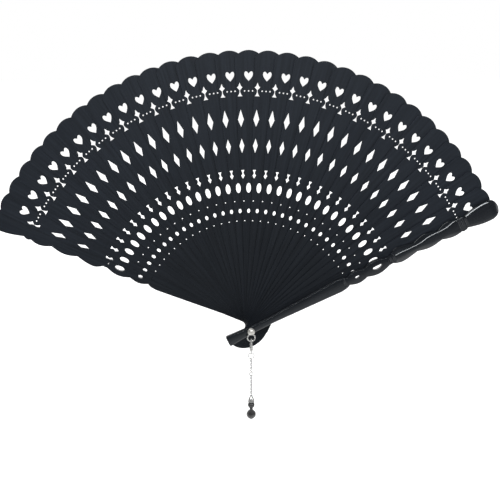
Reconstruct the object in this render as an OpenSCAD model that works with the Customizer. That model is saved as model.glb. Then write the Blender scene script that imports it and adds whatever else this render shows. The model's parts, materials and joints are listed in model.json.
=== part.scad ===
// Folding fan of thin pierced blades between two carved guards, all turning on one rivet.
// A ring on the rivet carries a pendant: clasp, jump ring, chain, bell cap and two beads.
// Axes: +X to the right, +Y to the back, +Z up. The open leaf stands upright in the XZ plane.
// The origin is on the rivet's axis, halfway through the stack of blades.
// Outlines are drawn as [distance from the pivot, offset from the centre line].

/* [Leaf] */
// Radius from the pivot to the tips of the blades
tip_r = 192.8; // [191:0.1:196]
// Angle from one blade to the next when the fan is open
blade_pitch_deg = 4.085; // [4.05:0.005:4.1]
// Thickness of one blade
blade_t = 0.55; // [0.5:0.05:0.65]
// Clear gap between one blade and the next
blade_gap = 0.15; // [0.12:0.01:0.2]
// Radius of the round end of each blade
tip_round_r = 11.4; // [11:0.1:12.5]
// Length of the tails past the pivot
tail_len = 17; // [14:0.5:18]

/* [Guards] */
// Thickness of each guard
guard_t = 3.2; // [2.8:0.1:3.6]
// Angle of the front guard's centre line above the horizontal, on the right
front_guard_deg = 26; // [25:0.1:27]
// Angle of the back guard's centre line, on the left, from the same horizontal
back_guard_deg = 155.4; // [154:0.1:156]

/* [Rivet] */
// Radius of the rivet's shank
shank_r = 1.2; // [1:0.05:1.3]
// Running clearance between the shank and each bore
fit_gap = 0.05; // [0.03:0.01:0.08]
// Radius of the rivet's round heads
head_r = 2.55; // [2.3:0.05:2.7]

/* [Pendant] */
// Radius of the pendant ring, to the middle of its wire
ring_r = 2.65; // [2.6:0.05:3]
// Radius of the jump ring, to the middle of its wire
jump_r = 2.1; // [2:0.05:2.4]
// Radius of the chain's wire
link_wire_r = 0.22; // [0.18:0.01:0.23]
// Radius of the small bead
small_bead_r = 2.6; // [2.3:0.1:2.8]
// Radius of the large bead
large_bead_r = 3.5; // [3:0.1:3.7]

/* [Hidden] */
$fn = 32;
blade_count = 31;
function blade_name(i) = str("blade_", i < 10 ? "0" : "", i);

lacquer = "#1b1d20";
stain = "#26292c";
steel = "#d8d9d6";

// ---- Layers through the stack, front to back along Y ----
layer_pitch = blade_t + blade_gap;
stack_half = (blade_count - 1) / 2 * layer_pitch + blade_t / 2 + blade_gap;
face_y = stack_half + guard_t;
middle_blade = (blade_count + 1) / 2;
bore_r = shank_r + fit_gap;
through = 100;

// ---- Rivet, from the front guard's face outwards ----
washer_gap = 0.1;
spacer_t = 1.4;
spacer_r = 2.2;
ring_wire_r = 0.45;
hang_y = -(face_y + washer_gap + spacer_t + washer_gap + ring_wire_r);
head_base_y = hang_y - ring_wire_r - washer_gap;
head_h = 1.3;
burr_t = 0.4;
back_head_t = 0.6;
recess_r = head_r + 0.25;
recess_t = burr_t + back_head_t + 0.3;

// ---- Pendant, each height worked out from the piece above it ----
play = 0.08;
ring_z = -4.4;
ring_low_z = ring_z - ring_r;
hook_r = 1.6;
hook_wire_r = 0.55;
hook_top_z = ring_low_z + ring_wire_r + hook_wire_r + 0.4;
hook_z = hook_top_z - hook_r;
clasp_y = hang_y - 0.4;
drum_z = hook_z - 5.3;
drum_r = 2.1;
drum_w = 2.6;
gate_r = 0.4;
gate_pin = [clasp_y - 1.15, drum_z + 0.8];
gate_tip = [clasp_y - hook_r, hook_z - 0.15];
gate_pin_r = 0.25;
gate_slot_w = 1.1;
gate_eye_w = 0.9;
eye_r = 1.05;
eye_wire_r = 0.35;
eye_z = drum_z - drum_r - 0.8;
eye_low_z = eye_z - eye_r;
jump_wire_r = 0.3;
jump_z = eye_low_z + eye_wire_r + jump_wire_r + play - jump_r;
jump_low_z = jump_z - jump_r;

link_end_r = 0.52;
link_straight = 0.85;
link_len = link_straight + 2 * link_end_r;
link_step = link_len - 2 * link_wire_r - play;
upper_links = 6;
middle_links = 5;
lower_links = 5;
upper_z = jump_low_z + jump_wire_r + link_wire_r + play;
upper_low_z = upper_z - (upper_links - 1) * link_step - link_len;

bar_eye_r = 0.62;
bar_eye_wire_r = 0.2;
bar_eye_z = upper_low_z + link_wire_r + bar_eye_wire_r + play - bar_eye_r;
bar_r = 0.5;
bar_len = 2.8;
bar_z = bar_eye_z - bar_eye_r - bar_r;
stem_r = 0.3;
connector_r = 1.25;
connector_wire_r = 0.3;
connector_z = bar_z - 2.3;
middle_z = connector_z - connector_r + connector_wire_r + link_wire_r + play;
middle_low_z = middle_z - (middle_links - 1) * link_step - link_len;
lower_z = middle_low_z + 2 * link_wire_r + play;
lower_low_z = lower_z - (lower_links - 1) * link_step - link_len;

pin_eye_r = 0.75;
pin_wire_r = 0.22;
pin_bore_r = pin_wire_r + 0.06;
pin_eye_z = lower_low_z + link_wire_r + pin_wire_r + play - pin_eye_r;
cap_top_z = pin_eye_z - pin_eye_r - 0.3;
cap_h = 4.9;
small_bead_z = cap_top_z - cap_h - small_bead_r + 0.2;
bead_spacer_t = 1.1;
bead_spacer_r = 1.2;
bead_joint_z = small_bead_z - small_bead_r;
large_bead_z = bead_joint_z - bead_spacer_t - large_bead_r;
pin_foot_z = large_bead_z - large_bead_r - 0.1;
pin_foot_r = 0.7;

// ---- Outlines ----
function mix(a, b, t) = a + (b - a) * t;

// A half outline mirrored over the centre line: its first and last points lie on that line
function mirrored(half) = concat(half, [for (i = [len(half) - 2 : -1 : 1]) [half[i][0], -half[i][1]]]);

// Points from a to b along a quarter sine: sharp at the narrower end, rounded at the wider one
function swelling(a, b, steps) = [for (s = [0 : steps - 1]) let (turn = 90 * s / steps) [
    mix(a[0], b[0], s / steps),
    mix(a[1], b[1], a[1] < b[1] ? sin(turn) : 1 - cos(turn))
]];

// A square tail that ends at -length, with this half width and rounded corners
function tail(length, w, corner) = concat(
    [[-length, 0]],
    [for (a = [0 : 15 : 90]) [-length + corner * (1 - cos(a)), w - corner * (1 - sin(a))]]
);

// Half width of a blade at stations along its straight sides
blade_w = 9.4;
blade_sides = [[0, 2.6], [78, 4.1], [101, 5.0], [112, 5.75], [129, 6.9], [147, 7.8], [170, 8.5]];
tip_centre = tip_r - tip_round_r;
tip_side_deg = asin(blade_w / tip_round_r);
function tip_arc() =
    [for (s = [0 : 8]) let (a = tip_side_deg * (1 - s / 8))
        [tip_centre + tip_round_r * cos(a), tip_round_r * sin(a)]];
function blade_half() = concat(tail(tail_len, 3.3, 1.4), blade_sides, tip_arc());

// Half width of a guard: a plain grip, then a row of carved lobes and necks up to the tip petal
grip = [[0, 2.6], [18, 2.6], [70, 4.9]];
lobes = [
    [73, 4.5], [77, 3], [84, 4.9], [90.7, 3.5], [99, 5.4], [108.5, 3.1], [111.5, 3.1], [118, 5.8],
    [130.5, 3.5], [140, 5.6], [149.5, 3.7], [158.5, 6.2], [164.4, 4.8], [166.8, 5.6], [169.6, 4.4], [186.5, 7.3]
];
petal = lobes[len(lobes) - 1];
guard_tip_r = 195.2;
petal_power = 0.77;
function guard_lobes() = [for (i = [0 : len(lobes) - 2]) each swelling(lobes[i], lobes[i + 1], 6)];

// The petal's end is a quarter of an ellipse, made squarer by a power below 1
function petal_arc() = [for (a = [0 : 10 : 90]) [
    petal[0] + (guard_tip_r - petal[0]) * pow(sin(a), petal_power),
    petal[1] * pow(cos(a), petal_power)
]];
function guard_half() = concat(tail(tail_len + 1, 3.9, 1), grip, guard_lobes(), petal_arc());

// ---- Piercings, in the blade's own plane ----
dot_r = 0.48;
row_dot_r = 0.52;
row_r = 165.8;
row_step = 2.7;

module dot(r, size)
    translate([r, 0]) circle(size, $fn = 10);

module oval(r, length, width)
    polygon([for (a = [0 : 18 : 342]) [r + length / 2 * cos(a), width / 2 * sin(a)]]);

// Half a heart: a cosine series along its length, which is 29 long, against a fattened sine across it
module heart(r, length, width)
    polygon(mirrored([for (a = [0 : 15 : 180]) [
        r + length / 29 * (13 * cos(a) - 5 * cos(2 * a) - 2 * cos(3 * a) - cos(4 * a)),
        width / 2 * pow(sin(a), 1.9)
    ]]));

// A pointed head, a thin neck and a flared foot that faces outwards
module arrow()
    polygon(mirrored([
        [106, 0], [107.3, 0.7], [108.3, 1.3], [109, 0.7], [109.8, 0.38], [110.7, 0.5], [111.5, 0.95],
        [112.2, 1.1], [112.2, 0]
    ]));

module diamond(inner, widest, outer, width)
    polygon([[inner, 0], [widest, width / 2], [outer, 0], [widest, -width / 2]]);

// A flared foot, a thin neck and a long-armed star
module candlestick()
    polygon(mirrored([
        [162.3, 0], [162.3, 1.65], [163.2, 1], [164.5, 0.4], [165.3, 0.25], [166.4, 0.25], [167.2, 0.9],
        [168.2, 1.95], [169.1, 0.95], [171.5, 0]
    ]));

// Openings on the seam between two blades: each blade carries its own copy of them
module seam_piercings() {
    dot(76.4, dot_r);
    dot(90.4, dot_r);
    arrow();
    diamond(123.7, 128.8, 133.9, 3.4);
    diamond(141.6, 146.7, 153.6, 4.1);
    candlestick();
}

// Openings on a blade's own centre line
module centre_piercings() {
    oval(83.4, 3.1, 2.1);
    oval(99.6, 6.9, 3.3);
    heart(176.2, 6.4, 5.9);
    for (side = [-1, 0, 1])
        translate([0, side * row_step]) dot(row_r, row_dot_r);
}

// ---- Placing ----
// Stands a flat outline upright, with its back face at y_back
module upright(y_back, thick)
    translate([0, y_back, 0]) rotate([90, 0, 0]) linear_extrude(thick) children();

// A cylinder on the rivet's axis from y_front back to y_back
module on_axis(y_front, y_back, r)
    translate([0, y_back, 0]) rotate([90, 0, 0]) cylinder(h = y_back - y_front, r = r);

// A wire ring facing the front
module ring(r, wire_r)
    rotate([90, 0, 0]) rotate_extrude() translate([r, 0]) circle(wire_r);

// Half of a wire ring facing the front, arching upwards
module arch(r, wire_r)
    rotate([90, 0, 0]) rotate_extrude(angle = 180) translate([r, 0]) circle(wire_r);

// ---- Fan ----
module blade(i) {
    k = i - middle_blade;
    color(stain)
    difference() {
        upright(k * layer_pitch + blade_t / 2, blade_t) rotate(90 + k * blade_pitch_deg) difference() {
            polygon(mirrored(blade_half()));
            for (side = [-1, 1])
                rotate(side * blade_pitch_deg / 2) seam_piercings();
            centre_piercings();
        }
        on_axis(-through, through, bore_r);
    }
}

module guard_outline(turn)
    rotate(turn) difference() {
        polygon(mirrored(guard_half()));
        oval(84.2, 3.3, 2.2);
        oval(100, 7, 3.3);
        dot(108.6, dot_r);
    }

module guard_front() {
    color(lacquer)
    difference() {
        upright(-stack_half, guard_t) guard_outline(front_guard_deg);
        on_axis(-through, through, bore_r);
    }
}

module guard_back() {
    color(lacquer)
    difference() {
        upright(face_y, guard_t) guard_outline(back_guard_deg);
        on_axis(-through, through, bore_r);
        on_axis(face_y - recess_t, through, recess_r);
    }
}

// Shank with a domed head at the front and a flat formed head inside the back guard's recess
module rivet() {
    dome_r = (head_r * head_r + head_h * head_h) / (2 * head_h);
    burr_y = face_y - recess_t + burr_t;
    color(steel) {
        on_axis(head_base_y, burr_y + back_head_t, shank_r);
        on_axis(burr_y + 0.05, burr_y + back_head_t, head_r - 0.3);
        intersection() {
            translate([0, head_base_y - head_h + dome_r, 0]) sphere(dome_r);
            on_axis(head_base_y - head_h, head_base_y, head_r);
        }
    }
}

module rivet_burr() {
    color(steel)
    difference() {
        on_axis(face_y - recess_t, face_y - recess_t + burr_t, head_r);
        on_axis(-through, through, bore_r);
    }
}

module rivet_spacer() {
    color(steel)
    difference() {
        on_axis(-face_y - washer_gap - spacer_t, -face_y - washer_gap, spacer_r);
        on_axis(-through, through, bore_r);
    }
}

// ---- Pendant ----
// A wire ring below the rivet's head, brazed to a flat eye that turns on the shank
module hanger_ring() {
    color(steel)
    difference() {
        union() {
            on_axis(hang_y - ring_wire_r, hang_y + ring_wire_r, spacer_r);
            translate([0, hang_y, ring_z]) ring(ring_r, ring_wire_r);
        }
        on_axis(-through, through, bore_r);
    }
}

module across(y, z, width, r)
    translate([-width / 2, y, z]) rotate([0, 90, 0]) cylinder(h = width, r = r);

// Hook, back leg, body and tail eye, in the YZ plane; the body is slotted for the gate
module clasp_body() {
    color(steel)
    difference() {
        union() {
            translate([0, clasp_y, hook_z]) rotate([0, 0, 90]) arch(hook_r, hook_wire_r);
            translate([0, clasp_y + hook_r, drum_z + 1]) cylinder(h = hook_z - drum_z - 1, r = hook_wire_r);
            across(clasp_y, drum_z, drum_w, drum_r);
            translate([0, hang_y, eye_z]) rotate([0, 0, 90]) ring(eye_r, eye_wire_r);
        }
        translate([-gate_slot_w / 2, clasp_y - 3, gate_pin[1] - 0.85]) cube([gate_slot_w, 3.3, 4]);
        across(gate_pin[0], gate_pin[1], through, gate_pin_r);
    }
}

module clasp_gate() {
    lean = atan2(gate_pin[0] - gate_tip[0], gate_tip[1] - gate_pin[1]);
    length = norm(gate_tip - gate_pin);
    color(steel)
    difference() {
        union() {
            across(gate_pin[0], gate_pin[1], gate_eye_w, 0.6);
            translate([0, gate_pin[0], gate_pin[1]]) rotate([lean, 0, 0]) cylinder(h = length, r = gate_r);
        }
        across(gate_pin[0], gate_pin[1], through, gate_pin_r + fit_gap);
    }
}

module clasp_pin() {
    color(steel) across(gate_pin[0], gate_pin[1], drum_w, gate_pin_r);
}

module jump_ring() {
    color(steel) translate([0, hang_y, jump_z]) ring(jump_r, jump_wire_r);
}

// A long link facing the front, with the wire of its top end centred on the origin
module link() {
    translate([0, 0, -link_end_r]) arch(link_end_r, link_wire_r);
    translate([0, 0, -link_end_r - link_straight]) mirror([0, 0, 1]) arch(link_end_r, link_wire_r);
    for (side = [-1, 1])
        translate([side * link_end_r, 0, -link_end_r - link_straight]) cylinder(h = link_straight, r = link_wire_r);
}

// Links hung one from the next, every other one turned side on: turn is the first link's angle
module chain(top_z, count, turn) {
    for (i = [0 : count - 1])
        translate([0, hang_y, top_z - i * link_step]) rotate([0, 0, turn + 90 * i]) link();
}

module chain_upper() {
    color(steel) chain(upper_z, upper_links, 90);
}

// A cross bar with a small eye above it and a stem below
module connector_bar() {
    color(steel) {
        translate([0, hang_y, bar_eye_z]) rotate([0, 0, 90]) ring(bar_eye_r, bar_eye_wire_r);
        across(hang_y, bar_z, bar_len, bar_r);
        translate([0, hang_y, connector_z + connector_r + connector_wire_r]) cylinder(
            h = bar_z - connector_z - connector_r - connector_wire_r,
            r = stem_r
        );
    }
}

module connector_ring() {
    color(steel) translate([0, hang_y, connector_z]) ring(connector_r, connector_wire_r);
}

module chain_middle() {
    color(steel) chain(middle_z, middle_links, 90);
}

module chain_lower() {
    color(steel) chain(lower_z, lower_links, 0);
}

// A solid of revolution on the pendant's own line
module on_drop(z)
    translate([0, hang_y, z]) rotate_extrude() children();

module on_drop_bore(r)
    translate([0, hang_y, -through]) cylinder(h = through, r = r);

module head_pin() {
    color(steel) {
        translate([0, hang_y, pin_eye_z]) rotate([0, 0, 90]) ring(pin_eye_r, pin_wire_r);
        translate([0, hang_y, pin_foot_z]) cylinder(h = pin_eye_z - pin_eye_r - pin_foot_z, r = pin_wire_r);
        translate([0, hang_y, pin_foot_z - 0.4]) cylinder(h = 0.4, r = pin_foot_r);
    }
}

module bead_cap() {
    color(steel)
    on_drop(cap_top_z) polygon([
        [pin_bore_r, 0], [0.75, 0], [1.15, -0.9], [1.95, -2.7], [2.5, -cap_h], [2.2, -cap_h], [1.65, -2.9],
        [0.85, -1.4], [pin_bore_r, -1.2]
    ]);
}

module small_bead() {
    color(lacquer)
    difference() {
        translate([0, hang_y, small_bead_z]) sphere(small_bead_r);
        on_drop_bore(pin_bore_r);
    }
}

module bead_spacer() {
    color(lacquer)
    difference() {
        translate([0, hang_y, bead_joint_z - bead_spacer_t]) cylinder(h = bead_spacer_t, r = bead_spacer_r);
        on_drop_bore(pin_bore_r);
        translate([0, hang_y, small_bead_z]) sphere(small_bead_r + 0.05);
        translate([0, hang_y, large_bead_z]) sphere(large_bead_r + 0.05);
    }
}

module large_bead() {
    color(lacquer)
    difference() {
        translate([0, hang_y, large_bead_z]) sphere(large_bead_r);
        on_drop_bore(pin_bore_r);
    }
}

guard_front();
guard_back();
for (i = [1 : blade_count])
    blade(i);
rivet();
rivet_burr();
rivet_spacer();
hanger_ring();
clasp_body();
clasp_gate();
clasp_pin();
jump_ring();
chain_upper();
connector_bar();
connector_ring();
chain_middle();
chain_lower();
head_pin();
bead_cap();
small_bead();
bead_spacer();
large_bead();
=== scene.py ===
"""A folding fan of pierced dark blades between two carved lacquered guards, with a ring, clasp, chain and
bead pendant on its rivet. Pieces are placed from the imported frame, in metres: +X right, +Y back, +Z up."""

import json
import math

import bmesh
import bpy
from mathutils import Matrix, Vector
from mathutils.bvhtree import BVHTree

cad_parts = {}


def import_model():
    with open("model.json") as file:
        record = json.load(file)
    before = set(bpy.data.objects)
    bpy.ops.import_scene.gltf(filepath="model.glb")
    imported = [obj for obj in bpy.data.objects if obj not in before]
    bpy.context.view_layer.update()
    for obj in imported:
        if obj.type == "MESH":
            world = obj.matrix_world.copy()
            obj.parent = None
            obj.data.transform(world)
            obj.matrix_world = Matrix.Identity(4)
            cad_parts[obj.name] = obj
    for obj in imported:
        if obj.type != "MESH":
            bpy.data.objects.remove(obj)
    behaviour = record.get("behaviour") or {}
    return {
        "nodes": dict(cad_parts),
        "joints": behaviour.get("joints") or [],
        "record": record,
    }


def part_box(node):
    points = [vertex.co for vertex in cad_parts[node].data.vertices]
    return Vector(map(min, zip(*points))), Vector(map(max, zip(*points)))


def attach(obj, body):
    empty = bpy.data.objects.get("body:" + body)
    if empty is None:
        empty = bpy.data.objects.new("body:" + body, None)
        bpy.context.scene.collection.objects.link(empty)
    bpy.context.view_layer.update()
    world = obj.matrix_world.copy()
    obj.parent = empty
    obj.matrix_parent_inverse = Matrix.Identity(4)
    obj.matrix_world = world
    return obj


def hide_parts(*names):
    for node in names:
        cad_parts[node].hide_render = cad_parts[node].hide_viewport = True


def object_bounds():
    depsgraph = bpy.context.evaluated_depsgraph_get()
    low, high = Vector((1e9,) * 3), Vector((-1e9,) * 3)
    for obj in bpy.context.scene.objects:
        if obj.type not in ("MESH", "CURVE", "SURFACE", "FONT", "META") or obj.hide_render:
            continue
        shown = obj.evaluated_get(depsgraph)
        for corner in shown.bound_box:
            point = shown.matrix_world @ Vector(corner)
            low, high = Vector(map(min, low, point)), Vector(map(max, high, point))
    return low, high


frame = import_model()
cad_low, cad_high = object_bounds()
nodes = frame["nodes"]

MM = 0.001
BLADES = sorted(name for name in nodes if name.startswith("blade_"))

# ---- How the sticks stand: the back guard's angle is its mount's, and the others follow from the joints ----
rest_face = next(m for m in frame["record"]["mounts"] if m["name"] == "rest_face")["pos_m"]
BACK_GUARD_DEG = math.degrees(math.atan2(rest_face[2], rest_face[0]))
opening = next(j for j in frame["joints"] if j["name"] == "front_guard_fold")["range_deg"][1]
ratios = {c["joint"]: c["ratio"] for c in frame["record"]["behaviour"]["couplings"]}
STICK_DEG = {name: BACK_GUARD_DEG - ratios[name + "_fold"] * opening for name in BLADES}
STICK_DEG["guard_front"] = BACK_GUARD_DEG - opening
STICK_DEG["guard_back"] = BACK_GUARD_DEG


def place(deg, along, across, y):
    """A point on a stick, from its distance from the rivet, its offset to the left, and its depth."""
    a = math.radians(deg)
    return Vector((along * math.cos(a) - across * math.sin(a), y, along * math.sin(a) + across * math.cos(a)))


def half_width(name):
    """A function that measures half the width of a stick's CAD mesh at a distance from the rivet."""
    mesh = nodes[name].data
    tree = BVHTree.FromPolygons([v.co for v in mesh.vertices], [tuple(p.vertices) for p in mesh.polygons])
    low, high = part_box(name)
    deg, y = STICK_DEG[name], (low.y + high.y) / 2
    start = 30 * MM

    def measure(along):
        inwards = place(deg, 0, -1, 0)
        hit = tree.ray_cast(place(deg, along, start, y), inwards)
        return start - hit[3] if hit[0] else 0

    return measure


# ---- Node materials ----
COOL_TINT = (0.88, 0.95, 1, 1)
DARK_STAIN = (0.0038, 0.0052, 0.0084)
LIGHT_STAIN = (0.0078, 0.0104, 0.0156)
# How much lighter the blade rims are painted: a painted highlight along every blade edge
RIM_HIGHLIGHT = 1.6


class Surface:
    """A Principled material with short calls for the procedural nodes that feed it."""

    def __init__(self, name, **constants):
        self.material = bpy.data.materials.new(name)
        self.material.use_nodes = True
        self.tree = self.material.node_tree
        self.shader = self.tree.nodes["Principled BSDF"]
        for socket, value in constants.items():
            self.shader.inputs[socket.replace("_", " ")].default_value = value

    def add(self, kind, links=None, **settings):
        """A new node. Settings are its properties or inputs, and links join its inputs to sources."""
        made = self.tree.nodes.new(kind)
        for key, value in settings.items():
            if hasattr(made, key):
                setattr(made, key, value)
            else:
                made.inputs[key.replace("_", " ")].default_value = value
        for socket, source in (links or {}).items():
            self.tree.links.new(source, made.inputs[socket])
        return made

    def coordinates(self, turn_deg=0, shift=(0, 0, 0), scale=(1, 1, 1)):
        """Object coordinates, shifted, turned about Y so that a stick's length lies along X, then scaled."""
        source = self.add("ShaderNodeTexCoord").outputs["Object"]
        aligned = self.add("ShaderNodeMapping", {"Vector": source})
        aligned.inputs["Rotation"].default_value = (0, math.radians(turn_deg), 0)
        aligned.inputs["Location"].default_value = shift
        stretched = self.add("ShaderNodeMapping", {"Vector": aligned.outputs[0]})
        stretched.inputs["Scale"].default_value = scale
        return stretched.outputs[0]

    def noise(self, vector, detail):
        made = self.add("ShaderNodeTexNoise", {"Vector": vector}, Scale=1, Detail=detail, Roughness=0.55)
        return made.outputs["Fac"]

    def ramp(self, value, stops):
        """A colour for the value, between two stops, which are (position, colour or grey) pairs."""
        made = self.add("ShaderNodeValToRGB", {"Fac": value})
        for element, (position, tone) in zip(made.color_ramp.elements, stops):
            element.position = position
            element.color = (*tone, 1) if isinstance(tone, tuple) else (tone, tone, tone, 1)
        return made.outputs["Color"]

    def multiply(self, colour, factor):
        """The product of two colours: a Mix node takes them in sockets 6 and 7, and gives output 2."""
        made = self.add("ShaderNodeMix", {6: colour, 7: factor}, data_type="RGBA", blend_type="MULTIPLY")
        made.inputs[0].default_value = 1.0
        return made.outputs[2]

    def feed(self, socket, source):
        self.tree.links.new(source, self.shader.inputs[socket])

    def bump(self, height, distance, strength, below=None):
        """Feeds the shader a bump, on top of the one below if there is one."""
        made = self.add("ShaderNodeBump", {"Height": height}, Distance=distance, Strength=strength)
        if below:
            self.tree.links.new(below, made.inputs["Normal"])
        self.feed("Normal", made.outputs[0])
        return made.outputs[0]


def stained_wood(name, deg, seed, edge=False):
    """Blue-black stained satin wood: fine pores and streaks along the stick, with painted shade darkening it
    towards the rivet.
    """
    wood = Surface(name, Specular_IOR_Level=0.18, Specular_Tint=COOL_TINT)
    shift = (seed * 0.37, seed * 0.11, seed * 0.23)
    streaks = wood.noise(wood.coordinates(deg, shift, (28, 900, 900)), detail=4)
    pores = wood.noise(wood.coordinates(deg, shift, (160, 3800, 3800)), detail=2)
    broad = wood.noise(wood.coordinates(deg, shift, (9, 90, 90)), detail=2)
    # The rim copy is painted lighter, as a painted highlight along the edges, and is glossier
    highlight_lift = RIM_HIGHLIGHT if edge else 1.0
    dark = tuple(highlight_lift * c for c in DARK_STAIN)
    light = tuple(highlight_lift * c for c in LIGHT_STAIN)
    stain = wood.ramp(streaks, [(0.32, dark), (0.72, light)])
    # Painted shade: the stain darkens towards the rivet, where the stacked sticks are less lit
    reach = wood.add("ShaderNodeVectorMath", {0: wood.coordinates(scale=(1, 0, 1))}, operation="LENGTH")
    pivot_shade = wood.ramp(reach.outputs["Value"], [(0.06, 0.6), (0.15, 1.0)])
    wood.feed("Base Color", wood.multiply(stain, pivot_shade))
    smoothest, roughest = (0.36, 0.46) if edge else (0.44, 0.56)
    wood.feed("Roughness", wood.ramp(broad, [(0.3, smoothest), (0.7, roughest)]))
    grain = wood.bump(streaks, 0.030 * MM, 0.8)
    wood.bump(pores, 0.018 * MM, 0.8, below=grain)
    return wood.material


def lacquered_wood(name, deg):
    """Deep black gloss lacquer over carved wood, with faint brush waves and a trace of the grain."""
    lacquer = Surface(
        name, Specular_IOR_Level=0.32, Specular_Tint=COOL_TINT, Coat_Weight=0.45, Coat_Roughness=0.04
    )
    waves = lacquer.noise(lacquer.coordinates(deg, scale=(60, 420, 420)), detail=2)
    grain = lacquer.noise(lacquer.coordinates(deg, scale=(40, 1500, 1500)), detail=3)
    dark, light = (0.0024, 0.0031, 0.0044), (0.0056, 0.0070, 0.0096)
    lacquer.feed("Base Color", lacquer.ramp(grain, [(0.3, dark), (0.75, light)]))
    lacquer.feed("Roughness", lacquer.ramp(waves, [(0.3, 0.14), (0.7, 0.24)]))
    lacquer.bump(waves, 0.05 * MM, 0.35)
    return lacquer.material


def silver_plate(name, tint, polish, rough_low, rough_high):
    """Plated metal, unevenly polished, with fine handling marks. A low polish is a duller, paler skin."""
    silver = Surface(name, Metallic=polish)
    cloud = silver.noise(silver.coordinates(scale=(700, 700, 700)), detail=4)
    marks = silver.noise(silver.coordinates(scale=(5200, 900, 5200)), detail=2)
    worn_share = 0.80
    worn = tuple(worn_share * c for c in tint)
    silver.feed("Base Color", silver.ramp(cloud, [(0.35, worn), (0.62, tint)]))
    silver.feed("Roughness", silver.ramp(marks, [(0.3, rough_low), (0.7, rough_high)]))
    silver.bump(marks, 0.006 * MM, 0.5)
    return silver.material


def black_glass(name):
    """Polished black glass with faint smoky swirls."""
    glass = Surface(name, Specular_IOR_Level=0.6, Coat_Weight=1.0, Coat_Roughness=0.02)
    swirl = glass.noise(glass.coordinates(scale=(420, 420, 420)), detail=5)
    dark, smoky = (0.006, 0.006, 0.007), (0.035, 0.034, 0.036)
    glass.feed("Base Color", glass.ramp(swirl, [(0.35, dark), (0.7, smoky)]))
    glass.feed("Roughness", glass.ramp(swirl, [(0.3, 0.05), (0.7, 0.12)]))
    return glass.material


def black_ribbon(name, deg):
    """Woven black satin ribbon: fine ribs and weft, and a soft sheen."""
    ribbon = Surface(name, Roughness=0.55, Sheen_Weight=0.35, Sheen_Roughness=0.4, Specular_IOR_Level=0.3)
    along = {"Vector": ribbon.coordinates(deg)}
    ribs = ribbon.add("ShaderNodeTexWave", along, bands_direction="Z", Scale=1100.0).outputs["Fac"]
    weft = ribbon.add("ShaderNodeTexWave", along, bands_direction="X", Scale=700.0).outputs["Fac"]
    cross = ribbon.add("ShaderNodeMix", {2: ribs, 3: weft}, data_type="FLOAT")
    cross.inputs[0].default_value = 0.4
    dark, light = (0.008, 0.008, 0.009), (0.024, 0.024, 0.026)
    ribbon.feed("Base Color", ribbon.ramp(cross.outputs[0], [(0.2, dark), (0.8, light)]))
    ribbon.bump(cross.outputs[0], 0.03 * MM, 0.6)
    return ribbon.material


# ---- Mesh helpers ----
def new_piece(name, points, faces, material, smooth_deg=None):
    """A piece from points and faces, shaded smooth where its faces meet at less than smooth_deg."""
    mesh = bpy.data.meshes.new(name)
    mesh.from_pydata([tuple(p) for p in points], [], faces)
    mesh.validate()
    work = bmesh.new()
    work.from_mesh(mesh)
    bmesh.ops.recalc_face_normals(work, faces=work.faces)
    work.to_mesh(mesh)
    work.free()
    if smooth_deg:
        mesh.shade_smooth()
        mesh.set_sharp_from_angle(angle=math.radians(smooth_deg))
    if material:
        mesh.materials.append(material)
    piece = bpy.data.objects.new(name, mesh)
    bpy.context.scene.collection.objects.link(piece)
    return piece


def band(here, there, count):
    """Faces between two rings of points, given the first point of each ring."""
    return [
        (here + k, here + (k + 1) % count, there + (k + 1) % count, there + k)
        for k in range(count)
    ]


def loft(name, sections, material):
    """A closed skin over rings of points, each ring with the same count, and an end face on both ends."""
    count = len(sections[0])
    points = [p for section in sections for p in section]
    last = (len(sections) - 1) * count
    faces = []
    for start in range(0, last, count):
        faces += band(start, start + count, count)
    faces.append(tuple(range(count)))
    faces.append(tuple(last + k for k in range(count)))
    return new_piece(name, points, faces, material)


def add_boolean(piece, operation, other):
    step = piece.modifiers.new(operation.lower(), "BOOLEAN")
    step.operation = operation
    step.solver = "EXACT"
    step.object = other


def settle(piece):
    """Makes the result of the piece's modifiers its mesh."""
    depsgraph = bpy.context.evaluated_depsgraph_get()
    mesh = bpy.data.meshes.new_from_object(piece.evaluated_get(depsgraph))
    piece.modifiers.clear()
    piece.data = mesh
    mesh.shade_smooth()
    return mesh


def cut(piece, cutters, smooth_deg):
    """Takes the cutters out of the piece, for good, and removes them."""
    for cutter in cutters:
        add_boolean(piece, "DIFFERENCE", cutter)
    mesh = settle(piece)
    for cutter in cutters:
        bpy.data.objects.remove(cutter)
    mesh.set_sharp_from_angle(angle=math.radians(smooth_deg))


def stand_in(piece, body, node):
    """The piece rides on a body, and stands for a CAD node, which is hidden."""
    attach(piece, body)
    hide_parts(node)


# ---- Camera: the angle and distance the fan is seen from ----
VIEW_AZIMUTH = -6.4
VIEW_ELEVATION = 13.5
VIEW_DISTANCE = 605 * MM
VIEW_TARGET = Vector((0.95, 0, 55.2)) * MM
SENSOR_WIDTH = 36.0
LENS = 61.7
NEAR_CLIP = 0.01


def add_camera():
    azimuth, elevation = math.radians(VIEW_AZIMUTH), math.radians(VIEW_ELEVATION)
    back = Vector((
        math.sin(azimuth) * math.cos(elevation),
        -math.cos(azimuth) * math.cos(elevation),
        math.sin(elevation),
    ))
    camera = bpy.data.objects.new("camera", bpy.data.cameras.new("camera"))
    camera.data.sensor_width = SENSOR_WIDTH
    camera.data.lens = LENS
    camera.data.clip_start = NEAR_CLIP
    camera.location = VIEW_TARGET + back * VIEW_DISTANCE
    camera.rotation_euler = (-back).to_track_quat("-Z", "Y").to_euler()
    bpy.context.scene.collection.objects.link(camera)
    bpy.context.scene.camera = camera


# ---- Studio ----
LEAF_MIDDLE = (0, 0, 0.08)
FLOOR_HALF = 6.0
FLOOR_CLEARANCE = 8 * MM


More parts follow.
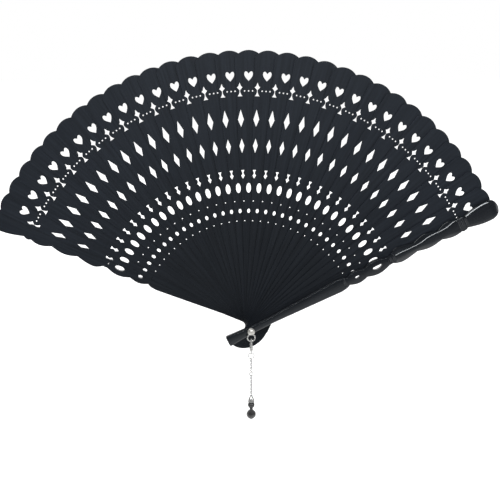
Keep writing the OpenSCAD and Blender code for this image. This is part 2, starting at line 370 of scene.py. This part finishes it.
def add_softbox(name, at, towards, size, power):
    lamp = bpy.data.lights.new(name, "AREA")
    lamp.shape = "RECTANGLE"
    lamp.size, lamp.size_y = size
    lamp.energy = power
    box = bpy.data.objects.new(name, lamp)
    box.location = at
    box.rotation_euler = (Vector(towards) - Vector(at)).to_track_quat("-Z", "Y").to_euler()
    bpy.context.scene.collection.objects.link(box)


def add_world():
    """A white room for the eye and for diffuse light. Reflections see it as a studio: a white floor and back
    wall, and little light above and behind the camera, so that gloss shows as thin bright lines."""
    world = bpy.data.worlds.new("studio")
    world.use_nodes = True
    tree = world.node_tree
    background = tree.nodes["Background"]
    direction = tree.nodes.new("ShaderNodeSeparateXYZ")
    tree.links.new(tree.nodes.new("ShaderNodeTexCoord").outputs["Generated"], direction.inputs[0])

    def fade(source, start, end, low, high):
        """A value that goes smoothly from low to high as the source goes from start to end."""
        made = tree.nodes.new("ShaderNodeMapRange")
        made.interpolation_type = "SMOOTHSTEP"
        made.inputs["From Min"].default_value = start
        made.inputs["From Max"].default_value = end
        made.inputs["To Min"].default_value = low
        made.inputs["To Max"].default_value = high
        tree.links.new(source, made.inputs["Value"])
        return made.outputs[0]

    floor_glow = fade(direction.outputs["Z"], -0.62, 0.06, 0.95, 0.0)
    wall_glow = fade(direction.outputs["Y"], 0.05, 0.75, 0.14, 0.95)
    brighter = tree.nodes.new("ShaderNodeMath")
    brighter.operation = "MAXIMUM"
    tree.links.new(floor_glow, brighter.inputs[0])
    tree.links.new(wall_glow, brighter.inputs[1])
    # A Mix node keeps its factor in socket 0 and its two values in sockets 2 and 3
    gloss = tree.nodes.new("ShaderNodeMix")
    gloss.inputs[2].default_value = 1.0
    tree.links.new(tree.nodes.new("ShaderNodeLightPath").outputs["Is Glossy Ray"], gloss.inputs[0])
    tree.links.new(brighter.outputs[0], gloss.inputs[3])
    tree.links.new(gloss.outputs[0], background.inputs["Strength"])
    background.inputs["Color"].default_value = (1, 1, 1, 1)
    bpy.context.scene.world = world


def add_floor():
    """A pale floor under the fan. Reflections don't see it, since the world gives them a floor."""
    glow = {"Emission_Color": (1, 1, 1, 1), "Emission_Strength": 0.12}
    pale = Surface("floor_paper", Roughness=0.9, Specular_IOR_Level=0.1, **glow)
    fibre = pale.noise(pale.coordinates(scale=(60, 60, 60)), detail=3)
    pale.feed("Base Color", pale.ramp(fibre, [(0.3, 0.93), (0.7, 0.95)]))
    z = cad_low.z - FLOOR_CLEARANCE
    corners = [(FLOOR_HALF * x, FLOOR_HALF * y, z) for x, y in ((-1, -1), (1, -1), (1, 1), (-1, 1))]
    floor = new_piece("floor", corners, [(0, 1, 2, 3)], pale.material)
    floor.visible_glossy = False


# ---- CAD pieces that keep their shape ----
WELD_REACH = 0.001 * MM


def add_weld(node):
    """Joins the CAD mesh's faces along their seams."""
    weld = node.modifiers.new("weld", "WELD")
    weld.merge_threshold = WELD_REACH


def dress(names, material):
    """Gives CAD nodes a material, with their own shapes."""
    for name in names:
        nodes[name].data.materials.clear()
        nodes[name].data.materials.append(material)
        add_weld(nodes[name])


# ---- Blades: the CAD sheets, with eased rims ----
BLADE_RIM = 0.09 * MM


def finish_blade(name, index):
    """Stains a blade, and eases every rim with a narrow bevel that takes a lighter, glossier copy of the
    stain: a painted highlight.
    """
    blade = nodes[name]
    deg = STICK_DEG[name]
    blade.data.materials.clear()
    blade.data.materials.append(stained_wood(name + "_wood", deg, index))
    blade.data.materials.append(stained_wood(name + "_rim", deg, index, edge=True))
    add_weld(blade)
    flat = blade.modifiers.new("flat", "DECIMATE")
    flat.decimate_type = "DISSOLVE"
    flat.angle_limit = math.radians(0.5)
    rim = blade.modifiers.new("rim", "BEVEL")
    rim.width = BLADE_RIM
    rim.segments = 2
    rim.limit_method = "ANGLE"
    rim.angle_limit = math.radians(60)
    rim.material = 1
    rim.harden_normals = True


# ---- Guards: a crowned grip, then a ridge bevelled down to a lobed outline, and a petal at the tip ----
# Openings: distance from the rivet, length and width, in millimetres
GUARD_OVALS = [(84.2, 3.3, 2.2), (100.0, 7.0, 3.3), (108.6, 0.96, 0.96)]
# Distances from the rivet, in millimetres
COLLAR_GROOVES = [74.4, 110.6, 113.2, 165.2, 167.6, 170.2]
CARVED_FROM = 114.0
CARVED_BLEND = 1.2
PETAL_BLEND = (168.5, 171.5)
# The crown is a share of the crest's half width, and softness is in millimetres
GRIP = {"crown": 0.075, "crest_softness": 0.06, "edge_softness": 0.1, "steepness": 0.8}
CARVED = {"crown": 0.03, "crest_softness": 0.9, "edge_softness": 0.6, "steepness": 0.66}
PETAL_STEEPNESS = 0.42
# The carved crest's half width where it starts, and each stretch where it widens, with by how much
CREST_HALF = 1.45
CREST_STEPS = [(133, 143, 1.35), (154, 164, 1.75)]
# How far the crest stays inside the outline
GRIP_MARGIN = 0.7 * MM
CARVED_MARGIN = 0.6 * MM
PETAL_MARGIN = 1.6 * MM
LEAST_CREST = 0.3
GROOVE_DEPTH = 0.45 * MM
GROOVE_HALF = 0.42
TIP_LENGTH = 7 * MM
TIP_DROP = 0.35
LEAST_EDGE = 0.6 * MM
LEAST_HALF_WIDTH = 0.05 * MM
OVAL_FLARE = 0.28 * MM
BORE_R = 1.25 * MM
RECESS_R = 2.8 * MM
RECESS_DEPTH = 1.3 * MM
BORE_FLARE = 0.1 * MM
INSIDE_SEED = 40


def smooth_step(value, start, end):
    share = min(max((value - start) / (end - start), 0), 1)
    return share * share * (3 - 2 * share)


def between(start, end, share):
    return start + (end - start) * share


def guard_form(along, width, thick, tip):
    """A section's half crest width, its shoulder, crown and edge heights, and its crest and edge softness.

    The grip is crowned over nearly its whole width, with crisp edges. The carved length has a flat face whose
    soft crest steps out twice as it goes, with a steep bevel below it. The petal has a narrow sloping rim."""
    r = along / MM
    carved = smooth_step(r, CARVED_FROM - CARVED_BLEND, CARVED_FROM + CARVED_BLEND)
    petal = smooth_step(r, *PETAL_BLEND)
    carved_crest = CREST_HALF
    for widens_from, widens_to, growth in CREST_STEPS:
        carved_crest += growth * smooth_step(r, widens_from, widens_to)
    crest = between(width - GRIP_MARGIN, min(carved_crest * MM, width - CARVED_MARGIN), carved)
    crest = between(crest, width - PETAL_MARGIN, petal)
    crest = max(crest, LEAST_CREST * width)
    crown, softness, edge_softness, steepness = (between(GRIP[key], CARVED[key], carved) for key in GRIP)
    steepness += (PETAL_STEEPNESS - CARVED["steepness"]) * petal
    height = thick
    for groove in COLLAR_GROOVES:
        height -= GROOVE_DEPTH * math.exp(-(((r - groove) / GROOVE_HALF) ** 2))
    from_tip = (tip - along) / TIP_LENGTH
    if from_tip < 1:
        height *= 1 - TIP_DROP * (1 - from_tip) ** 2
    shoulder = height - crown * crest
    edge = max(shoulder - steepness * (width - crest), LEAST_EDGE)
    return crest, shoulder, height, edge, softness * MM, edge_softness * MM


def bend(a, corner, b, steps):
    """Points of a rounded corner from a to b."""
    made = []
    for i in range(steps + 1):
        t = i / steps
        made.append((1 - t) ** 2 * a + 2 * t * (1 - t) * corner + t * t * b)
    return made


def guard_half_section(along, width, thick, tip):
    """One side of a guard's section as (across, height), from its inner side's middle to its face's."""
    crest, shoulder, height, edge, softness, edge_softness = guard_form(along, width, thick, tip)
    foot = min(0.15 * MM, 0.3 * width)
    wall = Vector((width, edge))
    ridge = Vector((crest, shoulder))
    slope = (ridge - wall).normalized()
    length = (ridge - wall).length
    fillet = min(edge_softness, 0.4 * length, 0.6 * edge)
    round_off = min(softness, 0.45 * length, 0.5 * crest)

    def crown(across):
        return height - (height - shoulder) * (across / crest) ** 2

    points = [Vector((0, 0))]
    points += bend(Vector((width - foot, 0)), Vector((width, 0)), Vector((width, foot)), 2)
    points += bend(wall - Vector((0, fillet)), wall, wall + slope * fillet, 4)
    inside = crest - round_off
    points += bend(ridge - slope * round_off, ridge, Vector((inside, crown(inside))), 7)
    for share in (0.75, 0.5, 0.25, 0.0):
        points.append(Vector((inside * share, crown(inside * share))))
    return points


def stations(low, high):
    """Distances along a stick: close together at both ends, where the outline turns quickly."""
    ends = [0.03, 0.12, 0.3, 0.55, 0.9, 1.35, 1.9, 2.6]
    step = 0.4 * MM
    length = high - low - 2 * ends[-1] * MM
    count = round(length / step)
    middle = [low + ends[-1] * MM + length * i / count for i in range(1, count)]
    return [low + e * MM for e in ends] + middle + [high - e * MM for e in reversed(ends)]


def carve_guard(node, body, inner_y, outwards):
    """A guard with its CAD outline and openings. Its face looks along Y, forwards if outwards is -1."""
    deg = STICK_DEG[node]
    low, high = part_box(node)
    thick = high.y - low.y
    cos, sin = math.cos(math.radians(deg)), math.sin(math.radians(deg))
    reach = [v.co.x * cos + v.co.z * sin for v in nodes[node].data.vertices]
    tail, tip = min(reach), max(reach)
    measure = half_width(node)

    def world(along, across, height):
        return place(deg, along, across, inner_y + outwards * height)

    sections = []
    for along in stations(tail, tip):
        side = guard_half_section(along, max(measure(along), LEAST_HALF_WIDTH), thick, tip)
        left = [world(along, p.x, p.y) for p in side]
        right = [world(along, -p.x, p.y) for p in side[1:-1]]
        sections.append(left + right[::-1])
    lacquer = lacquered_wood(node + "_lacquer", deg)
    piece = loft(node + "_carved", sections, lacquer)

    def hole(at, length, width, floor, flare):
        """A cutter of oval rings, wider where it leaves the face."""
        turns = 40
        rings = [(floor, 0), (thick - flare, 0)]
        rings += [(thick - 0.05 * MM, flare * 0.8), (thick + 1 * MM, flare * 2.2)]
        return loft("cutter", [
            [
                world(at + (length / 2 + grow) * math.cos(a), (width / 2 + grow) * math.sin(a), height)
                for a in (2 * math.pi * k / turns for k in range(turns))
            ]
            for height, grow in rings
        ], None)

    below = -1 * MM
    cutters = [hole(at * MM, a * MM, b * MM, below, OVAL_FLARE) for at, a, b in GUARD_OVALS]
    cutters.append(hole(0, 2 * BORE_R, 2 * BORE_R, below, BORE_FLARE))
    if node == "guard_back":
        cutters.append(hole(0, 2 * RECESS_R, 2 * RECESS_R, thick - RECESS_DEPTH, BORE_FLARE))
    cut(piece, cutters, 32)
    # The side against the blades is stained, not lacquered
    piece.data.materials.append(stained_wood(node + "_inside", deg, INSIDE_SEED))
    for face in piece.data.polygons:
        if face.normal.y * outwards < -0.9:
            face.material_index = 1
    stand_in(piece, body, node)


# ---- Ribbon: a strip across the back of each stick, turned over its right edge ----
RIBBON_FROM = 181.0 * MM
RIBBON_TO = 188.0 * MM
RIBBON_T = 0.08 * MM
RIBBON_LIFT = 0.02 * MM
RIBBON_INSET = 0.25 * MM


def ribbon_strip(node, body, wraps):
    """A thin strip on the back of a stick. On a blade it turns over the right edge, to the strip in front."""
    deg = STICK_DEG[node]
    low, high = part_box(node)
    measure = half_width(node)
    front, back = low.y, high.y
    under = back + RIBBON_LIFT
    over = under + RIBBON_T
    steps = 24

    def crossing(offset, y_in, y_out):
        """The strip's section where offset gives its place to the left of the centre line."""
        near, far = (RIBBON_FROM, offset(RIBBON_FROM)), (RIBBON_TO, offset(RIBBON_TO))
        return [place(deg, *at, y) for at, y in ((near, y_in), (far, y_in), (far, y_out), (near, y_out))]

    sections = [
        crossing(lambda along: (measure(along) - RIBBON_INSET) * (1 - 2 * i / steps), under, over)
        for i in range(steps + 1)
    ]
    if wraps:
        turn = RIBBON_LIFT + RIBBON_INSET
        for past_end, y_in, y_out in ((turn, under, over), (turn + RIBBON_T, back, under + RIBBON_T * 0.5)):
            sections.append(crossing(lambda along: -(measure(along) - RIBBON_INSET) - past_end, y_in, y_out))
    strip = loft("ribbon_" + node, sections, black_ribbon("ribbon_" + node, deg))
    if wraps:
        corners = [
            place(deg, along, -measure(along) - out, y)
            for y in (front, under)
            for along in (RIBBON_FROM, RIBBON_TO)
            for out in (RIBBON_LIFT, RIBBON_LIFT + RIBBON_T)
        ]
        faces = [(0, 1, 3, 2), (4, 6, 7, 5), (0, 4, 5, 1), (2, 3, 7, 6), (0, 2, 6, 4), (1, 5, 7, 3)]
        riser = new_piece("ribbon_turn_" + node, corners, faces, strip.data.materials[0])
        riser.parent = strip
    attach(strip, body)


# ---- Pendant ----
PLATE = (0.62, 0.62, 0.61)
CHAIN_PLATE = (0.36, 0.36, 0.37)
NICKEL = (0.60, 0.59, 0.56)


def flow(piece, voxel, rounds, material):
    """Remeshes a piece and smooths it, so that its parts run into each other as cast metal does."""
    remesh = piece.modifiers.new("remesh", "REMESH")
    remesh.mode = "VOXEL"
    remesh.voxel_size = voxel
    smooth = piece.modifiers.new("smooth", "SMOOTH")
    smooth.factor = 0.5
    smooth.iterations = rounds
    mesh = settle(piece)
    mesh.materials.clear()
    mesh.materials.append(material)
    return piece


def cast_copy(node, voxel, rounds, material):
    """A copy of a CAD node, with its edges melted."""
    piece = bpy.data.objects.new(node + "_cast", nodes[node].data.copy())
    bpy.context.scene.collection.objects.link(piece)
    return flow(piece, voxel, rounds, material)


def through_points(points, per_span):
    """Points on a smooth curve through a list of equal-length tuples."""
    made = []
    last = len(points) - 1
    for i in range(last):
        p0, p1, p2, p3 = (points[max(i - 1, 0)], points[i], points[i + 1], points[min(i + 2, last)])
        for k in range(per_span):
            t = k / per_span
            made.append(tuple(
                0.5 * (
                    2 * b + (c - a) * t + (2 * a - 5 * b + 4 * c - d) * t * t
                    + (3 * b - a - 3 * c + d) * t ** 3
                )
                for a, b, c, d in zip(p0, p1, p2, p3)
            ))
    return made + [points[-1]]


def oval(centre, one, other, sides):
    """A ring of points about the centre, out to one vector and to the other."""
    angles = [2 * math.pi * k / sides for k in range(sides)]
    return [centre + one * math.cos(a) + other * math.sin(a) for a in angles]


def claw_body(hook_top, gate, middle_y, material):
    """The hook and the body it swells into, in the plane across X, swept along one line."""
    hook_r = 1.6
    hook_z = hook_top.z / MM - hook_r
    body_z = gate.z / MM - 0.8
    # Rows: distance back from the middle, height, half width sideways, and half width within the claw
    arch = [
        (-hook_r * math.cos(a), hook_z + hook_r * math.sin(a), 0.40 + 0.06 * i, 0.42 + 0.05 * i)
        for i, a in enumerate(math.radians(30 * k) for k in range(6))
    ]
    route = arch + [
        (1.62, hook_z - 0.2, 0.72, 0.62),
        (1.45, body_z + 2.4, 0.95, 0.85),
        (0.85, body_z + 1.1, 1.24, 1.35),
        (0.05, body_z + 0.1, 1.32, 2.05),
        (0.18, body_z - 1.2, 1.02, 1.40),
        (0.40, body_z - 2.1, 0.55, 0.62),
        (0.40, body_z - 2.5, 0.34, 0.40),
    ]
    line = through_points(route, 6)
    # Each section faces along the line as it runs from this many points before to as many after
    lead = 6
    sections = []
    for i, (y, z, wide, deep) in enumerate(line):
        before, after = line[max(i - lead, 0)], line[min(i + lead, len(line) - 1)]
        ahead = Vector((0, after[0] - before[0], after[1] - before[1])).normalized()
        across = Vector((0, -ahead.z, ahead.y))
        centre = Vector((0, middle_y / MM + y, z))
        ring = oval(centre, Vector((1, 0, 0)) * wide, across * deep, 24)
        sections.append([point * MM for point in ring])
    return loft("clasp_claw", sections, material)


def claw_eye(low, material):
    """The wire eye under the claw, in the same plane, from its lowest point."""
    eye_r, wire_r = 1.05 * MM, 0.35 * MM
    steps = 32
    sections = []
    for k in range(steps):
        a = 2 * math.pi * k / steps
        centre = low + Vector((0, eye_r * math.sin(a), eye_r * (1 - math.cos(a))))
        outwards = Vector((0, math.sin(a), -math.cos(a)))
        ring = oval(Vector((0, 0, 0)), outwards, Vector((1, 0, 0)), 12)
        sections.append([centre + wire_r * point for point in ring])
    return loft("clasp_eye", sections + [sections[0]], material)


def gate_slot(gate, middle_y):
    """A cutter for the slot that the gate turns in."""
    half = 0.55 * MM
    front, back = middle_y - 3 * MM, middle_y + 0.3 * MM
    bottom, top = gate.z - 0.85 * MM, gate.z + 3 * MM
    corners = [(front, bottom), (back, bottom), (back, top), (front, top)]
    return loft("cutter", [[Vector((x, y, z)) for y, z in corners] for x in (-half, half)], None)


def claw_clasp(material):
    """A lobster claw: a hook that swells into a flat body slotted for the gate, with an eye below."""
    pivot = {j["name"]: Vector(j["pos_m"]) for j in frame["joints"]}
    gate = pivot["clasp_gate_open"]
    middle_y = gate.y + 1.15 * MM
    clasp = claw_body(pivot["clasp_swing"], gate, middle_y, material)
    eye = claw_eye(pivot["jump_ring_swing"], material)
    add_boolean(clasp, "UNION", eye)
    flow(clasp, 0.07 * MM, 6, material)
    bpy.data.objects.remove(eye)
    cut(clasp, [gate_slot(gate, middle_y)], 50)
    return clasp


def turned(name, centre, outline, steps, swell, material, smooth_deg=None):
    """A turned piece about the upright line through centre. swell(angle, height) scales its radius."""
    points = []
    for k in range(steps):
        a = 2 * math.pi * k / steps
        for r, z in outline:
            points.append(centre + Vector((r * swell(a, z) * math.cos(a), r * swell(a, z) * math.sin(a), z)))
    count = len(outline)
    faces = []
    for i in range(steps):
        faces += band(i * count, (i + 1) % steps * count, count)
    return new_piece(name, points, faces, material, smooth_deg)


def faceted_bead(node, body, sides, rows, material):
    """A cut bead: rows of flat facets round a bored ball, with polished edges."""
    low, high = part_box(node)
    centre = (low + high) / 2
    radius = (high.z - low.z) / 2
    bore = 0.3 * MM
    table, table_z = 0.36 * radius, radius * 0.96
    last_row = math.radians(70)
    outline = [(bore, table_z), (table, table_z)]
    for i in range(1, rows):
        a = last_row * (1 - 2 * i / rows)
        outline.append((radius * math.cos(a), radius * math.sin(a)))
    outline += [(table, -table_z), (bore, -table_z)]
    piece = turned(node + "_cut", centre, outline, sides, lambda a, z: 1.0, material)
    rim = piece.modifiers.new("rim", "BEVEL")
    rim.width = 0.06 * MM
    rim.segments = 2
    rim.limit_method = "ANGLE"
    rim.angle_limit = math.radians(12)
    stand_in(piece, body, node)


def bell_cap(node, body, material):
    """A stamped bell: a small crown, fluted sides and a scalloped mouth."""
    low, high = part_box(node)
    centre = Vector(((low.x + high.x) / 2, (low.y + high.y) / 2, high.z))
    height = high.z - low.z
    mouth = (high.x - low.x) / 2
    petals = 8
    flute_depth = 0.10
    skin = 0.22 * MM
    bore = 0.28 * MM
    # Radius as a share of the mouth's, and height as a share of the bell's, from the top down
    shape = [
        (0.28, 0.0), (0.42, 0.0), (0.44, -0.06), (0.38, -0.12), (0.46, -0.22),
        (0.64, -0.38), (0.80, -0.55), (0.88, -0.72), (0.93, -0.88), (0.99, -1.0),
    ]
    outer = [(r * mouth, z * height) for r, z in shape]
    inner = [(max(r * mouth - skin, bore), min(z * height - skin * 0.4, -skin)) for r, z in shape[3:-1]]
    inner.append((outer[-1][0] - skin, outer[-1][1]))

    def flute(angle, z):
        depth = max(0.0, -z / height - 0.2)
        return 1 - flute_depth * depth * (0.5 + 0.5 * math.cos(petals * angle))

    piece = turned("bead_cap_fluted", centre, outer + inner[::-1], 96, flute, material, 40)
    stand_in(piece, body, node)


def finish_pendant():
    """The rivet and everything that hangs on it."""
    plate = silver_plate("silver_plate", PLATE, 0.85, 0.16, 0.30)
    nickel = silver_plate("rivet_nickel", NICKEL, 0.78, 0.28, 0.42)
    chain = silver_plate("chain_plate", CHAIN_PLATE, 0.85, 0.20, 0.34)
    glass = black_glass("bead_glass")
    dress(("rivet", "rivet_burr", "rivet_spacer"), nickel)
    dress(("hanger_ring", "clasp_gate", "clasp_pin", "jump_ring", "connector_ring", "head_pin"), plate)
    dress(("chain_upper", "chain_middle", "chain_lower"), chain)
    dress(("bead_spacer",), glass)
    stand_in(claw_clasp(plate), "clasp", "clasp_body")
    stand_in(cast_copy("connector_bar", 0.05 * MM, 8, plate), "connector", "connector_bar")
    bell_cap("bead_cap", "drop", plate)
    faceted_bead("small_bead", "drop", 10, 6, glass)
    faceted_bead("large_bead", "drop", 12, 7, glass)


# ---- Scene ----
add_camera()
add_world()
add_floor()
add_softbox("strip", (0.10, -1.15, 0.62), LEAF_MIDDLE, (0.9, 0.16), 11)
add_softbox("side", (1.3, -0.75, 0.10), LEAF_MIDDLE, (0.4, 0.3), 1.2)
add_softbox("crown", (-0.53, 0.10, 1.16), LEAF_MIDDLE, (0.9, 0.5), 7)
add_softbox("back", (0.5, 1.0, 1.0), LEAF_MIDDLE, (1.2, 0.8), 4)

for number, blade_name in enumerate(BLADES, 1):
    finish_blade(blade_name, number)
front_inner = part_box("guard_front")[1].y
back_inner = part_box("guard_back")[0].y
carve_guard("guard_front", "front_guard", front_inner, -1)
carve_guard("guard_back", "back_guard_and_rivet", back_inner, 1)
ribbon_strip("guard_front", "front_guard", False)
for blade_name in BLADES:
    ribbon_strip(blade_name, blade_name, True)
finish_pendant()

bpy.context.scene.view_settings.view_transform = "Standard"
